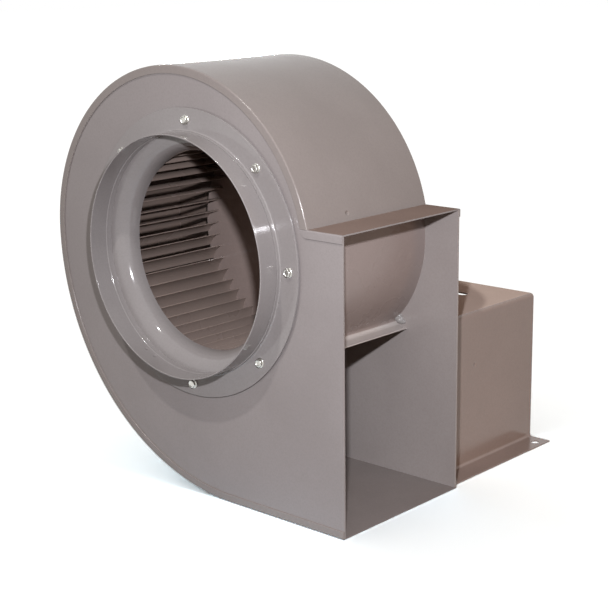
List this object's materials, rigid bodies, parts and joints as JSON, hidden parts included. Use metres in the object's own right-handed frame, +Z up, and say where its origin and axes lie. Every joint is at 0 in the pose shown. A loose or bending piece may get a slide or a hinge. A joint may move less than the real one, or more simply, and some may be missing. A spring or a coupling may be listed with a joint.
{
  "type": "centrifugal blower",
  "caption": "Forward-curved centrifugal blower: enamelled scroll housing, belled round inlet, rectangular outlet with curved cutoff, bladed wheel on a keyed shaft, and a folded drive pedestal.",
  "frame": {"origin": "on the floor, at the centre of the pedestal's four floor holes", "axes": "+X out of the outlet, +Y along the shaft from the inlet to the drive end, +Z up"},
  "size_m": [0.437, 0.425, 0.472],
  "materials": {
    "housing_enamel": "glossy baked enamel",
    "wheel_sheet": "semi-gloss painted sheet",
    "zinc": "bright zinc plated",
    "steel": "machined steel",
    "bearing_steel": "ground and polished",
    "iron": "painted casting",
    "seal_rubber": "matt"
  },
  "bodies": {
    "housing": {"inlet_side_plate": "housing_enamel", "drive_side_plate": "housing_enamel", "scroll_wrap": "housing_enamel", "outlet_top_plate": "housing_enamel", "cutoff_plate": "housing_enamel", "inlet_bell": "housing_enamel", "inlet_flange_ring": "housing_enamel", "inlet_spigot": "housing_enamel", "motor_pedestal": "housing_enamel", "pedestal_brace": "housing_enamel", "inlet_screws": "zinc", "block_bolts": "zinc", "block_washers": "zinc", "block_nuts": "zinc", "cap_screws": "steel", "front_outer_race": "bearing_steel", "rear_outer_race": "bearing_steel", "bearing_block": "iron", "front_bearing_cap": "iron", "rear_bearing_cap": "iron", "front_shaft_seal": "seal_rubber", "rear_shaft_seal": "seal_rubber"},
    "rotor": {"wheel_back_plate": "wheel_sheet", "wheel_front_ring": "wheel_sheet", "wheel_blades": "wheel_sheet", "wheel_hub": "steel", "hub_rivets": "zinc", "hub_set_screws": "steel", "drive_shaft": "steel", "hub_key": "steel", "retaining_rings": "steel", "front_inner_race": "bearing_steel", "rear_inner_race": "bearing_steel"},
    "front_ball_set": {"front_bearing_balls": "bearing_steel", "front_bearing_cage": "bearing_steel"},
    "rear_ball_set": {"rear_bearing_balls": "bearing_steel", "rear_bearing_cage": "bearing_steel"}
  },
  "joints": [
    {"name": "wheel_spin", "type": "hinge", "parent": "housing", "child": "rotor", "pos_m": [0, 0, 0.2715], "axis": [0, -1, 0], "continuous": true},
    {"name": "front_ball_set_turn", "type": "hinge", "parent": "housing", "child": "front_ball_set", "pos_m": [0, 0, 0.2715], "axis": [0, -1, 0], "continuous": true},
    {"name": "rear_ball_set_turn", "type": "hinge", "parent": "housing", "child": "rear_ball_set", "pos_m": [0, 0, 0.2715], "axis": [0, -1, 0], "continuous": true}
  ],
  "couplings": [
    {"joint": "front_ball_set_turn", "follows": "wheel_spin", "ratio": 0.4085},
    {"joint": "rear_ball_set_turn", "follows": "wheel_spin", "ratio": 0.4085}
  ]
}
